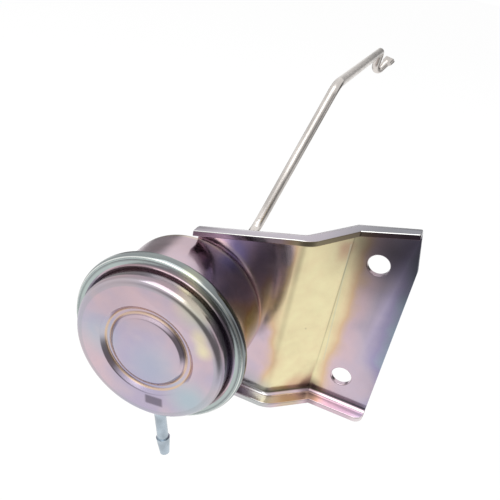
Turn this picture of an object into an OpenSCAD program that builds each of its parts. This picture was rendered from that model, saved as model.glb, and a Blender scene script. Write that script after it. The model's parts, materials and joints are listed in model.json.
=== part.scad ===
// Wastegate actuator: pressed can with a rolling diaphragm, cranked rod and folded bracket.
// Row frame: origin midway between the two bracket holes, on the seating face.
// +Y is the way the rod moves out, +X points from the can to the bracket's free edge, +Z is up.

/* [Can] */
// How far the rolled rim stands out from the housing
rim_overhang = 5.2; // [4.6:0.1:7]
// Outer radius of the rear housing
can_r = 29.8; // [26:0.1:34]
// How much wider the cap's side wall is than the housing
cap_step = 0.2; // [-0.6:0.1:0.6]
// Sheet thickness of the cap and the housing
shell_t = 1.2; // [0.8:0.1:1.4]
// Depth of the rear housing, from its floor to the back of the rim
can_depth = 26.3; // [25:0.1:32]
// Height of the cap's face above the rim
cap_rise = 7.2; // [6.6:0.1:10]
// Outer radius of the cap's rounded corner
cap_corner_r = 2.6; // [1.6:0.1:3]
// Radius of the fillet between the cap's wall and its flange
cap_root_r = 1.4; // [0.8:0.1:1.6]
// Gap between the cap's side wall and the rolled edge that grips its flange
curl_gap = 1.7; // [1.5:0.1:2.2]
// Outer radius of the rim's rolled corners
curl_corner_r = 1.9; // [1.5:0.1:2.4]
// Outer radius of the housing's floor corner
floor_corner_r = 2.2; // [1.6:0.1:3]

/* [Cap face] */
// Radius of the pressed groove's bottom
groove_r = 16.4; // [15:0.1:18]
// Half of the groove's width at the face
groove_half_w = 3; // [2.6:0.1:3.6]
// Depth of the groove
groove_depth = 2; // [1:0.1:2.2]
// How far the middle disc lies below the outer face
disc_drop = 0.3; // [0:0.1:0.5]

/* [Hose nipple] */
// Outer radius of the tube
nipple_r = 2.25; // [1.8:0.05:2.4]
// Wall of the tube
nipple_wall = 0.95; // [0.5:0.05:1.2]
// How far the barb stands out from the tube
barb_height = 0.5; // [0.3:0.05:0.9]
// Wall at the mouth of the barb
barb_lip = 0.6; // [0.3:0.05:1]
// Length of the tube from the cap's wall to the barb
tube_l = 14; // [10:0.5:20]
// Length of the barb
barb_l = 8; // [6:0.5:12]
// Angle of the nipple from straight down, towards the bracket
nipple_angle = 12.5; // [0:0.5:30]
// Width of the brazed fillet at the cap's wall
braze_w = 1.05; // [0.5:0.05:1.3]
// Distance of the nipple's centreline from the front of the rim
nipple_rise = 2.6; // [2.5:0.1:4]

/* [Bracket] */
// Sheet thickness
sheet_t = 2.4; // [2:0.1:3]
// Inner radius of the bends between plate and lips
bend_r = 2.2; // [1:0.1:2.6]
// Reach of both lips in front of the plate
lip_reach = 5.8; // [5:0.1:8]
// Set-back of the mounting plate behind the can's plate
jog = 13; // [8:0.5:16]
// Gap between the housing and the first fold
fold_gap = 9.5; // [8:0.1:12]
// Width of the sloping web, seen from the front
web_w = 15.2; // [13:0.1:19]
// Radius of the soft first fold on the front face
fold_1_r = 5; // [4:0.5:7]
// Left end of both lips, from the can's axis
lips_start_x = -2; // [-6:0.5:4]
// Distance of the right edge from the holes
hole_edge = 14; // [12:0.1:18]
// How far the upper lip ends before the right edge
upper_lip_inset = 3.6; // [2.5:0.1:6]
// Height at which the right edge starts to slant in, from the can's axis
slant_z = 39; // [34:0.5:44]
// Gap between the housing and the upper lip
upper_lip_gap = 1.93; // [1.5:0.01:4]
// Slope of the upper lip in degrees
upper_slope = 15.4; // [13:0.1:17]
// Gap between the housing and the lower lip
lower_lip_gap = 3.2; // [2:0.1:6]
// How far the rounded end stays inside the housing
end_inset = 2.8; // [1.8:0.1:5]
// Radius of the lower lip's rounded corner
lip_corner_r = 4; // [2:0.1:5]
// Gap between the seal's retainer and the opening round it
guide_hole_gap = 2; // [1:0.1:3]

/* [Bracket holes] */
// Radius of both mounting holes
hole_r = 4.3; // [3.3:0.1:4.5]
// Distance between the mounting holes
hole_spacing = 56; // [50:0.5:58]
// Distance of the holes from the second fold
hole_inset = 11.5; // [9:0.1:14]
// Middle of the holes from the can's axis, upwards
holes_z = 8.2; // [4:0.1:10]

/* [Can studs] */
// Thread radius of the welded studs
stud_r = 3; // [2.5:0.25:3]
// Distance from each stud to the floor's rounded corner
stud_margin = 6.1; // [5.6:0.1:8]
// How far each stud stands out of its nut
stud_tail = 4.2; // [2:0.1:7]
// Clearance of the studs in the bracket
stud_clearance = 0.3; // [0.2:0.05:0.5]
// Wall of the nut at its flats
nut_wall = 2; // [1.5:0.1:2.5]
// Thickness of the nuts
nut_t = 5; // [4:0.1:6]
// Width of the spring washers' ring
washer_wall = 2.4; // [1.8:0.1:2.6]
// Thickness of the spring washers
washer_t = 1.4; // [1:0.1:1.6]

/* [Rod] */
// Radius of the rod
rod_r = 2.5; // [2.2:0.05:2.75]
// First bend, from the can's floor along the axis
crank_start = 71; // [60:0.5:80]
// Length of the crank along the axis
crank_run = 41; // [32:0.5:50]
// Length of the rod's far straight
far_run = 112.4; // [70:0.2:130]
// Sideways offset of the far straight
crank_x = 15; // [10:0.5:20]
// Upward offset of the far straight
crank_z = 71.5; // [60:0.5:80]
// Bend radius of the crank, at the rod's centreline
crank_bend_r = 9; // [8:0.5:12]
// Bend radius of the hook, at the rod's centreline
hook_bend_r = 3.2; // [3:0.1:3.6]
// Length of the hook's downward leg, centre to centre
hook_drop = 16.8; // [15:0.2:20]
// How far the hook's leg leans away from the bracket
hook_lean = 1.4; // [0:0.1:3]
// Length of the hook's tail
hook_tail = 17.3; // [15:0.1:20]
// How far the far straight drifts towards the bracket
far_drift = 1.4; // [0:0.1:3]
// Width of the tail's flattened end
tail_w = 7.4; // [5.6:0.1:8]
// Thickness of the tail's flattened end
tail_t = 2.8; // [2:0.1:4]
// Length of the tail's flattened end
tail_flat_l = 5.6; // [4:0.1:6.5]

/* [Drive] */
// Travel of the rod
travel = 12; // [8:0.5:14]
// Diaphragm thickness
diaphragm_t = 0.8; // [0.6:0.1:1]
// Thickness of the diaphragm's clamped edge
bead_t = 1.4; // [1.2:0.1:2]
// Gap between piston and housing, where the diaphragm rolls
roll_gap = 5.4; // [4.8:0.1:6.5]
// Gap left behind the piston's skirt at full travel
skirt_gap = 7.3; // [4:0.1:10]
// Sheet thickness of the piston and its front plate
piston_t = 1.2; // [0.8:0.1:1.4]
// How much smaller the front plate is than the piston
front_plate_inset = 2.7; // [2:0.1:5]
// Gap between the front plate and the cap's groove at rest
plate_gap = 0.8; // [0.6:0.1:1.5]
// Thickness of the rod's riveted head
head_t = 1.2; // [0.8:0.1:1.4]
// How far the rod's riveted head stands out
head_overhang = 1.5; // [1:0.1:2]
// How far the washer stands out from the riveted head
head_washer_w = 2; // [1:0.1:3]
// Thickness of the washer under the riveted head
head_washer_t = 0.8; // [0.6:0.1:1]
// Height of the rod's shoulder
shoulder_h = 2.1; // [1.5:0.1:3]
// Length of the rod's shoulder
shoulder_l = 2; // [1.5:0.1:3]
// Gap between the spring and the piston's skirt
spring_gap = 5; // [4:0.1:5.6]
// Wire radius of the spring
wire_r = 1.4; // [1:0.1:1.5]
// Turns of the spring
spring_turns = 5.5; // [4.5:0.5:6]

/* [Rod guide] */
// Running clearance between rod and guide
guide_clearance = 0.05; // [0.02:0.01:0.09]
// Wall of the guide bush
bush_wall = 2.45; // [1.8:0.05:3]
// Width of the bush's inner flange
bush_flange_w = 3; // [2:0.1:4]
// Length of the bush inside the can
bush_inside = 5; // [4:0.1:7]
// Length of the bush behind the can's floor
bush_outside = 6; // [4:0.1:7]
// Length of the wiper seal
seal_l = 2.5; // [2:0.1:3]
// Sheet thickness of the seal's retainer
retainer_t = 1; // [0.8:0.1:1.2]
// Thickness of the spring's seat ring
seat_t = 1; // [0.8:0.1:1.4]
// Clearance between fitted pressings
fit = 0.15; // [0.1:0.05:0.25]

/* [Hidden] */
steps = 8;
round_fn = 96;
small_fn = 48;
overlap = 1;

// Positions along the can's axis: 0 is the can's floor, the cap lies on the negative side.
rim_r = can_r + rim_overhang;
cap_r = can_r + cap_step;
curl_inner_r = cap_r + curl_gap;
flange_r = rim_r - curl_corner_r;
rim_back = -can_depth;
bead_back = rim_back - shell_t;
bead_front = bead_back - bead_t;
flange_front = bead_front - shell_t;
rim_front = flange_front - shell_t;
cap_face = rim_front - cap_rise;
groove_bottom = cap_face + groove_depth;
disc_face = cap_face + disc_drop;
plate_front = groove_bottom + shell_t + plate_gap;
washer_front = plate_front - head_washer_t;
rod_head_front = washer_front - head_t;
web_front = plate_front + piston_t;
piston_front = web_front + diaphragm_t;
piston_back = piston_front + piston_t;
piston_skirt = -shell_t - skirt_gap - travel - piston_front;
nipple_y = rim_front - nipple_rise;
floor_inside = -shell_t;
guide_r = rod_r + guide_clearance;
bush_r = guide_r + bush_wall;
bush_flange_r = bush_r + bush_flange_w;
guide_hole_r = bush_r + retainer_t + guide_hole_gap;
piston_r = can_r - shell_t - roll_gap;
front_plate_r = piston_r - front_plate_inset;
spring_r = piston_r - piston_t - spring_gap - wire_r;
head_r = rod_r + head_overhang;
head_washer_r = head_r + head_washer_w;
shoulder_r = rod_r + shoulder_h;
crank_end = crank_start + crank_run;
rod_reach = crank_end + far_run;
nipple_bore_r = nipple_r - nipple_wall;
barb_r = nipple_r + barb_height;
barb_tip_r = nipple_bore_r + barb_lip;
barb_start = cap_r + tube_l;
braze_r = nipple_r + braze_w;
seal_end = bush_outside + seal_l;

// Studs, nuts and washers.
stud_offset = can_r - floor_corner_r - stud_r - stud_margin;
stud_l = sheet_t + washer_t + nut_t + stud_tail;
nut_flats = 2 * (stud_r + nut_wall);
washer_r = stud_r + washer_wall;

// Bracket outline, measured from the can's axis.
fold_1_x = can_r + fold_gap;
fold_2_x = fold_1_x + web_w;
holes_x = fold_2_x + hole_inset;
right_x = holes_x + hole_edge;
upper_lip_end_x = right_x - upper_lip_inset;
end_r = can_r - end_inset;
lower_z = can_r + lower_lip_gap + sheet_t;
seat_y = jog + sheet_t;
web_angle = atan(jog / (fold_2_x - fold_1_x));
upper_rise = tan(upper_slope);
upper_t = sheet_t / cos(upper_slope);
upper_z = (can_r + upper_lip_gap) / cos(upper_slope) + upper_t;
bend_outer_r = bend_r + sheet_t;

// Bends of the rod, from the riveted head to the hook's tail.
tail_way = unit([0.76, 1, 1.19]);
hook_top = [crank_x + far_drift, rod_reach, crank_z];
hook_low = hook_top - [hook_lean, 0, hook_drop];
tail_end = hook_low + hook_tail * tail_way;
rod_points = [[0, washer_front, 0], [0, crank_start, 0], [crank_x, crank_end, crank_z],
    hook_top, hook_low, tail_end - tail_way * tail_flat_l * 0.6];
rod_radii = [0, crank_bend_r, crank_bend_r, hook_bend_r, hook_bend_r, 0];

function arc(cx, cy, r, from, to, n = steps) =
    [for (i = [0:n]) let (a = from + (to - from) * i / n) [cx + r * cos(a), cy + r * sin(a)]];
function unit(v) = v / norm(v);
function side(v) = [-v[1], v[0]];
function last(list) = len(list) - 1;

// Normal of an open outline at its point i, to the left of the way it runs.
function normal_at(p, i) =
    let (back = unit(p[i] - p[max(i - 1, 0)] + (i == 0 ? p[1] - p[0] : [0, 0])),
         on = unit(p[min(i + 1, last(p))] - p[i] + (i == last(p) ? p[i] - p[i - 1] : [0, 0])),
         n = unit(side(back) + side(on)))
    n / (n * side(back));
function shifted(p, t) = [for (i = [0:last(p)]) p[i] + t * normal_at(p, i)];
function strip(p, t) = concat(p, [for (i = [last(p):-1:0]) p[i] + t * normal_at(p, i)]);

module on_axis() translate([-holes_x, -seat_y, -holes_z]) children();
module turned(points, fn = round_fn) rotate([-90, 0, 0]) rotate_extrude($fn = fn) polygon(points);
module ring(outer_r, inner_r, from_y, to_y, fn = small_fn)
    turned([[inner_r, from_y], [outer_r, from_y], [outer_r, to_y], [inner_r, to_y]], fn);
module along_y(r, from_y, to_y, fn = small_fn)
    translate([0, from_y, 0]) rotate([-90, 0, 0]) cylinder(r = r, h = to_y - from_y, $fn = fn);
module at_studs() for (end = [1, -1]) translate([0, 0, end * stud_offset]) children();

// Deep-drawn housing: floor, wall, flange and the edge rolled over the cap's flange.
module rear_housing() color("thistle") on_axis() difference() {
    turned(strip(concat(
        [[bush_r, 0]],
        arc(can_r - floor_corner_r, -floor_corner_r, floor_corner_r, 90, 0),
        arc(can_r + cap_root_r, rim_back + cap_root_r, cap_root_r, 180, 270),
        arc(rim_r - curl_corner_r, rim_back - curl_corner_r, curl_corner_r, 90, 0),
        arc(rim_r - curl_corner_r, rim_front + curl_corner_r, curl_corner_r, 0, -90),
        [[curl_inner_r, rim_front]]), -shell_t));
    along_y(bush_r, -shell_t - overlap, overlap);
}

// Pressed cover with its ring groove, rounded corner and flange.
module front_cap() color("plum") on_axis() difference() {
    turned(strip(concat(
        [[0, disc_face], [groove_r - groove_half_w - 0.6, disc_face]],
        arc(groove_r - groove_half_w, disc_face + 0.9, 0.9, 270, 320, 3),
        arc(groove_r, groove_bottom - 1.5, 1.5, 140, 40, steps),
        arc(groove_r + groove_half_w, cap_face + 0.9, 0.9, 220, 270, 3),
        arc(cap_r - cap_corner_r, cap_face + cap_corner_r, cap_corner_r, 270, 360),
        arc(cap_r + cap_root_r, flange_front - cap_root_r, cap_root_r, 180, 90),
        [[flange_r, flange_front]]), shell_t));
    nipple_placed() cylinder(r = nipple_r, h = 2 * cap_r, $fn = small_fn);
}

module nipple_placed() translate([0, nipple_y, 0]) rotate([0, 180 - nipple_angle, 0]) children();

// Hose nipple: a drawn tube with one barb, brazed into the cap's wall.
module hose_nipple() color("silver") on_axis() difference() {
    nipple_placed() {
        translate([0, 0, cap_r - 2.5]) cylinder(r = nipple_r, h = barb_start - cap_r + 3, $fn = small_fn);
        translate([0, 0, barb_start]) cylinder(r1 = barb_r, r2 = barb_tip_r, h = barb_l, $fn = small_fn);
        difference() {
            translate([0, 0, cap_r - 1]) cylinder(r1 = braze_r, r2 = nipple_r, h = 3, $fn = small_fn);
            rotate([0, nipple_angle - 180, 0]) along_y(cap_r, -nipple_rise - overlap, cap_rise, round_fn);
        }
    }
    nipple_placed() cylinder(r = nipple_bore_r, h = barb_start + barb_l + overlap, $fn = small_fn);
}

// Rolling diaphragm: clamped bead, loop beside the piston and web under the front plate.
loop_outer_r = can_r - shell_t - fit - 0.4;
loop_inner_r = piston_r + fit;
loop_r = (loop_outer_r - loop_inner_r) / 2;
loop_y = bead_back + 3;
web_bend_r = 1.6;
web_hole_r = rod_r + 0.3;
module diaphragm() color("dimgray") on_axis() turned(concat(
    [[web_hole_r, web_front]],
    arc(piston_r + fit + diaphragm_t - web_bend_r, web_front + web_bend_r, web_bend_r, 270, 360),
    arc(loop_inner_r + loop_r, loop_y, loop_r - diaphragm_t, 180, 0),
    [[loop_outer_r - diaphragm_t, bead_front], [flange_r, bead_front],
     [flange_r, bead_back]],
    [[loop_outer_r, bead_back]],
    arc(loop_inner_r + loop_r, loop_y, loop_r, 0, 180),
    arc(piston_r + fit - web_bend_r, piston_front + web_bend_r, web_bend_r, 360, 270),
    [[web_hole_r, piston_front]]));

// Plate that holds the diaphragm's web against the piston.
module front_plate() color("silver") on_axis()
    ring(front_plate_r, rod_r, plate_front, web_front, round_fn);

// Pressed piston cup that carries the spring.
module piston_cup() color("lightsteelblue") on_axis() turned(strip(concat(
    [[rod_r, piston_front]],
    arc(piston_r - 1.8, piston_front + 1.8, 1.8, 270, 360),
    [[piston_r, piston_front + piston_skirt]]), piston_t));

module head_washer() color("silver") on_axis()
    ring(head_washer_r, rod_r, washer_front, plate_front);

// Round bar through the given points, with a true bend at each inner point.
module bent_bar(points, radii, r) {
    bite = 0.2;
    swell = 0.02;
    ways = [for (i = [0:last(points) - 1]) unit(points[i + 1] - points[i])];
    turns = [for (i = [0:last(points)]) i == 0 || i == last(points) ? 0 : acos(ways[i - 1] * ways[i])];
    cut = [for (i = [0:last(points)]) radii[i] * tan(turns[i] / 2)];
    for (i = [0:last(points) - 1]) {
        start = points[i] + ways[i] * (cut[i] - (i == 0 ? 0 : bite));
        end = points[i + 1] - ways[i] * (cut[i + 1] - (i == last(points) - 1 ? 0 : bite));
        across = unit(cross(ways[i], abs(ways[i][2]) > 0.9 ? [1, 0, 0] : [0, 0, 1]));
        multmatrix(axes(across, cross(ways[i], across), ways[i], start))
            cylinder(r = r, h = norm(end - start), $fn = small_fn);
    }
    for (i = [1:last(points) - 1]) {
        normal = unit(cross(ways[i - 1], ways[i]));
        outward = cross(ways[i - 1], normal);
        start = points[i] - ways[i - 1] * cut[i];
        multmatrix(axes(outward, ways[i - 1], normal, start - radii[i] * outward))
            rotate_extrude(angle = turns[i], $fn = round_fn)
                translate([radii[i], 0]) circle(r = r + swell, $fn = small_fn);
    }
}
function axes(x, y, z, at) =
    [[x[0], y[0], z[0], at[0]], [x[1], y[1], z[1], at[1]], [x[2], y[2], z[2], at[2]], [0, 0, 0, 1]];

// Tail's end, struck flat so that the lever can't slip off.
module tail_flat() {
    across = unit(cross(tail_way, [0, 0, 1]));
    taper = tail_flat_l * 0.4;
    multmatrix(axes(across, cross(tail_way, across), tail_way, tail_end - tail_way * tail_flat_l))
        intersection() {
            union() {
                cylinder(r1 = rod_r - 0.4, r2 = tail_w / 2, h = taper, $fn = small_fn);
                translate([0, 0, taper]) cylinder(r = tail_w / 2, h = tail_flat_l - taper, $fn = small_fn);
            }
            translate([-tail_w, -tail_t / 2, -overlap])
                cube([2 * tail_w, tail_t, tail_flat_l + 2 * overlap]);
        }
}

// Cranked rod with its riveted head, shoulder and hooked end.
module rod() color("gainsboro") on_axis() {
    bent_bar(rod_points, rod_radii, rod_r);
    tail_flat();
    along_y(head_r, rod_head_front, washer_front);
    along_y(shoulder_r, piston_back, piston_back + shoulder_l);
}

// Compression spring with closed end turns.
spring_from = piston_back + wire_r;
spring_to = floor_inside - seat_t - wire_r;
function coil_lift(t) = let (s = min(max((t - 0.75) / (spring_turns - 1.5), 0), 1)) spring_from
    + wire_r * 0.9 * (min(t, 0.75) + max(t - spring_turns + 0.75, 0))
    + (spring_to - spring_from - wire_r * 1.35) * s;
module spring() color("slategray") on_axis() {
    sides = 8;
    rings = floor(spring_turns * 20);
    points = [for (i = [0:rings]) let (t = spring_turns * i / rings, a = 360 * t, y = coil_lift(t))
        for (k = [0:sides - 1]) let (b = 360 * k / sides, r = spring_r + wire_r * cos(b))
            [r * cos(a), y + wire_r * sin(b), r * sin(a)]];
    skin = [for (i = [0:rings - 1]) for (k = [0:sides - 1]) let (n = (k + 1) % sides)
        [i * sides + k, i * sides + n, (i + 1) * sides + n, (i + 1) * sides + k]];
    caps = [[for (k = [sides - 1:-1:0]) k], [for (k = [0:sides - 1]) rings * sides + k]];
    polyhedron(points = points, faces = concat(skin, caps));
}

// Ring that centres the spring on the housing's floor.
module spring_seat() color("silver") on_axis() {
    seat_collar_r = spring_r - wire_r - fit;
    turned([[seat_collar_r - seat_t, floor_inside], [spring_r + wire_r + fit, floor_inside],
        [spring_r + wire_r + fit, floor_inside - seat_t], [seat_collar_r, floor_inside - seat_t],
        [seat_collar_r, floor_inside - seat_t - 2.5], [seat_collar_r - seat_t, floor_inside - seat_t - 2.5]]);
}

// Flanged bush that guides the rod through the floor.
module guide_bush() color("darkgoldenrod") on_axis() {
    flange_t = 1.2;
    turned([[guide_r, -shell_t - bush_inside], [bush_r, -shell_t - bush_inside],
        [bush_r, floor_inside - flange_t], [bush_flange_r, floor_inside - flange_t],
        [bush_flange_r, floor_inside], [bush_r, floor_inside], [bush_r, bush_outside],
        [guide_r, bush_outside]], small_fn);
}

module wiper_seal() color("dimgray") on_axis()
    ring(bush_r, guide_r, bush_outside, seal_end);

// Pressed cup that holds the wiper seal on the bush.
module seal_retainer() color("silver") on_axis()
    turned([[bush_r, 0], [bush_r + retainer_t, 0], [bush_r + retainer_t, seal_end + retainer_t],
        [guide_r + 0.8, seal_end + retainer_t], [guide_r + 0.8, seal_end], [bush_r, seal_end]], small_fn);

// Front face of the bracket seen from above, as points [x, y] from the can's axis.
fold_1_cut = fold_1_r * tan(web_angle / 2);
function bracket_path() = concat(
    [[-end_r - overlap, 0]],
    arc(fold_1_x - fold_1_cut, fold_1_r, fold_1_r, 270, 270 + web_angle, 5),
    [[fold_2_x, jog]],
    [[right_x + overlap, jog]]);

// Section of the channel at x: points [reach in front of the front face, height].
function bracket_section(x) =
    let (top = upper_z + upper_rise * x, low = -lower_z, n = 4,
         top_bend = top - upper_t - bend_r, low_bend = low + sheet_t + bend_r)
    concat(
        arc(bend_r, low_bend, bend_outer_r, 180, 270, n),
        [[lip_reach, low], [lip_reach, low + sheet_t]],
        arc(bend_r, low_bend, bend_r, 270, 180, n),
        arc(bend_r, top_bend, bend_r, 180, 90, n),
        [[lip_reach, top - upper_t], [lip_reach, top]],
        arc(bend_r, top_bend, bend_outer_r, 90, 180, n));

// Folded channel, built section by section along the bracket's path.
module channel() {
    path = bracket_path();
    sections = [for (i = [0:last(path)]) let (n = -normal_at(path, i))
        [for (q = bracket_section(path[i][0])) [path[i][0] + q[0] * n[0], path[i][1] + q[0] * n[1], q[1]]]];
    m = len(sections[0]);
    skin = [for (i = [0:last(path) - 1]) for (k = [0:m - 1]) let (n = (k + 1) % m)
        each [[i * m + k, i * m + n, (i + 1) * m + n], [i * m + k, (i + 1) * m + n, (i + 1) * m + k]]];
    caps = [[for (k = [m - 1:-1:0]) k], [for (k = [0:m - 1]) last(path) * m + k]];
    polyhedron(points = [for (s = sections) each s], faces = concat(skin, caps));
}

// Cuts the bracket's right edge, which slants in towards the upper lip.
module right_trim() {
    far = 60;
    slant_top = upper_z + upper_rise * upper_lip_end_x;
    rotate([90, 0, 0]) linear_extrude(height = 4 * far, center = true)
        polygon([[right_x + far, -far], [right_x, -far], [right_x, slant_z],
            [upper_lip_end_x, slant_top], [upper_lip_end_x, slant_top + far], [right_x + far, slant_top + far]]);
}

// Rounds the lower lip's free corner.
module lip_corner_trim() {
    edge_y = jog - lip_reach;
    wide = lip_corner_r + 2 * overlap;
    translate([right_x - lip_corner_r, edge_y + lip_corner_r, -lower_z - overlap]) difference() {
        translate([0, -wide, 0]) cube([wide, wide, sheet_t + 2 * overlap]);
        cylinder(r = lip_corner_r, h = sheet_t + 2 * overlap, $fn = small_fn);
    }
}

// Takes the lips off behind the can and leaves a rounded end there.
module left_trim() {
    wide = 2 * end_r;
    difference() {
        translate([lips_start_x - wide, -wide / 2, -wide]) cube([wide, wide, 2 * wide]);
        along_y(end_r, -wide, wide, round_fn);
    }
}

module bracket() color("orchid") on_axis() difference() {
    channel();
    left_trim();
    right_trim();
    lip_corner_trim();
    along_y(guide_hole_r, -overlap, sheet_t + overlap);
    at_studs() along_y(stud_r + stud_clearance, -overlap, sheet_t + overlap);
    for (end = [1, -1]) translate([holes_x, 0, holes_z + end * hole_spacing / 2])
        along_y(hole_r, jog - overlap, seat_y + overlap);
}

// One welded stud, one spring washer and one nut, used twice.
module stud() color("silver") on_axis() translate([0, 0, stud_offset]) {
    along_y(stud_r, 0, stud_l - 0.6);
    translate([0, stud_l - 0.6, 0]) rotate([-90, 0, 0])
        cylinder(r1 = stud_r, r2 = stud_r - 0.6, h = 0.6, $fn = small_fn);
}
module washer() color("silver") on_axis() translate([0, 0, stud_offset])
    ring(washer_r, stud_r, sheet_t, sheet_t + washer_t);
module nut() color("silver") on_axis() translate([0, 0, stud_offset]) difference() {
    intersection() {
        translate([0, sheet_t + washer_t, 0]) rotate([-90, 0, 0])
            cylinder(d = nut_flats / cos(30), h = nut_t, $fn = 6);
        translate([0, sheet_t + washer_t, 0]) rotate([-90, 0, 0])
            cylinder(r1 = nut_flats / 2 + 3, r2 = nut_flats / 2 + 3 - nut_t / 2, h = nut_t, $fn = small_fn);
    }
    along_y(stud_r, 0, 2 * stud_l);
}
module upper_stud() stud();
module upper_washer() washer();
module upper_nut() nut();
module lowered() translate([0, 0, -2 * stud_offset]) children();
module lower_stud() lowered() stud();
module lower_washer() lowered() washer();
module lower_nut() lowered() nut();

rear_housing();
front_cap();
hose_nipple();
diaphragm();
front_plate();
piston_cup();
rod();
head_washer();
spring();
spring_seat();
guide_bush();
wiper_seal();
seal_retainer();
bracket();
upper_stud();
lower_stud();
upper_washer();
lower_washer();
upper_nut();
lower_nut();
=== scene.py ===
"""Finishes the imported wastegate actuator: plating, bare steel, rubber, threads and a studio."""

import json
import math

import bmesh
import bpy
from mathutils import Matrix, Vector


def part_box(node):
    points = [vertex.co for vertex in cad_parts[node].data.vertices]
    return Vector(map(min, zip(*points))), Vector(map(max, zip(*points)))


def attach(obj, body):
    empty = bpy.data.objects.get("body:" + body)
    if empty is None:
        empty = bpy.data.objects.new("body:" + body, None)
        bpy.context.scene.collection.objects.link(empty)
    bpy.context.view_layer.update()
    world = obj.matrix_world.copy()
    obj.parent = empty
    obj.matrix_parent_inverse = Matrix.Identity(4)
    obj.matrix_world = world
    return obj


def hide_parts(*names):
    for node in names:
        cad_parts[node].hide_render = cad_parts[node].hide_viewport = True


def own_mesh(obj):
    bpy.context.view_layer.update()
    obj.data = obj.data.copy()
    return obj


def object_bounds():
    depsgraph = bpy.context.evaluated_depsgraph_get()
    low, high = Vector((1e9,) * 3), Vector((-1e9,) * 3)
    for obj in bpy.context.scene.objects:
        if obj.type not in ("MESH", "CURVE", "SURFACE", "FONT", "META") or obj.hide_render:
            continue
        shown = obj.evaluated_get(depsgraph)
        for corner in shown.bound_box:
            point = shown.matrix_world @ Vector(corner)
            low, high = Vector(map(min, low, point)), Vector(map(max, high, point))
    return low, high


bl_info = {
    "name": "Wastegate actuator finish",
    "version": (1, 0, 0),
    "blender": (4, 5, 0),
    "location": "View3D > Sidebar > Actuator",
    "description": "Plating, steel, rubber, threads and studio for the wastegate actuator",
    "category": "Object",
}

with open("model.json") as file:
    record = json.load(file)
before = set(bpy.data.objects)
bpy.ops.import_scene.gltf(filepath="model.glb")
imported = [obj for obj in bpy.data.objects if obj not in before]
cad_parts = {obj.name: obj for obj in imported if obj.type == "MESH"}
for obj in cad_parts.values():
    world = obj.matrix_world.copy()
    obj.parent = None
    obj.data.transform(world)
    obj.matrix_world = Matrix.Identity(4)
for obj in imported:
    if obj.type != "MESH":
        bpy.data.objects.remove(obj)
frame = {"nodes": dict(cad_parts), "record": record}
CAD_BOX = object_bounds()

MM = 0.001
FULL_TURN = 2 * math.pi
SMOOTH = {"interpolation_type": "SMOOTHSTEP"}

# A point on the can's axis, which the part's source also holds, in millimetres.
CAN_AXIS = Vector((-66.0, 0.0, -8.2))

# How far the plating's colours and waves run before they change, in millimetres.
FILM_PATCH_MM = 26.0
FILM_CLOUD_MM = 5.0
SWIRL_MM = 14.0
SWIRL_REACH_MM = 9.0
GLOSS_PATCH_MM = 9.0
WAVE_MM = 14.0
METAL_CLOUD_MM = 8.0
RUBBER_CLOUD_MM = 4.0

# The grain of plating and rubber. Real grit is finer than this and than the 0.4 to 0.6 mm of the
# plain metals: they are drawn as coarse as they need to be to show.
GRAIN_MM = 0.5

# How high those marks stand, in millimetres.
WAVE_HEIGHT_MM = 0.12
RIDGE_HEIGHT_MM = 0.16
GRAIN_HEIGHT_MM = 0.004
RUBBER_GRAIN_HEIGHT_MM = 0.03
DENT_DEPTH_MM = 0.25

# The film's thickness where no patch sets it, from rose to lavender, and how far clouds move it.
BASE_FILM = (0.5, 0.66)
CLOUD_SHARE = 0.018

# The bracket's slope of colour starts over this distance on each side of its fold.
SLOPE_EDGE_MM = 0.6

# A rolled thread's depth and the length that it runs out over, in pitches.
THREAD_DEPTH = 0.54
THREAD_RUN_OUT = 0.6

# Points closer than this are one, and faces that turn less than this lie in one plane.
JOIN_DISTANCE = 0.002 * MM
FLAT_DEGREES = 0.3

# Directions of the camera that was fitted to the photograph, in the part's frame.
CAMERA_RIGHT = Vector((0.915, 0.3642, 0.1737))
CAMERA_UP = Vector((-0.3291, 0.4245, 0.8435))

# What the stage is set round, in metres.
STAGE_MIDDLE = Vector((-0.04, -0.02, 0.0))
FLOOR_SIZE = 6.0
CLOTH_RADIUS = 1.6
CLOTH_OVER_FLOOR = 0.004
CLOTH_LOWEST, CLOTH_HIGHEST = math.radians(-50), math.radians(72)


def linear(hex_colour):
    """Turns an sRGB hex colour into the linear colour that a shader takes."""
    parts = [int(hex_colour[i : i + 2], 16) / 255 for i in (1, 3, 5)]
    return [c / 12.92 if c <= 0.04045 else ((c + 0.055) / 1.055) ** 2.4 for c in parts] + [1.0]


def colour_property(name, description, hex_colour):
    """A colour that a user can change in the sidebar."""
    return bpy.props.FloatVectorProperty(
        name=name,
        description=description,
        subtype="COLOR",
        size=4,
        min=0.0,
        max=1.0,
        default=linear(hex_colour),
    )


def number_property(name, description, value, low, high, **kind):
    """A number that a user can change in the sidebar."""
    return bpy.props.FloatProperty(
        name=name, description=description, default=value, min=low, max=high, **kind
    )


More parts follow.
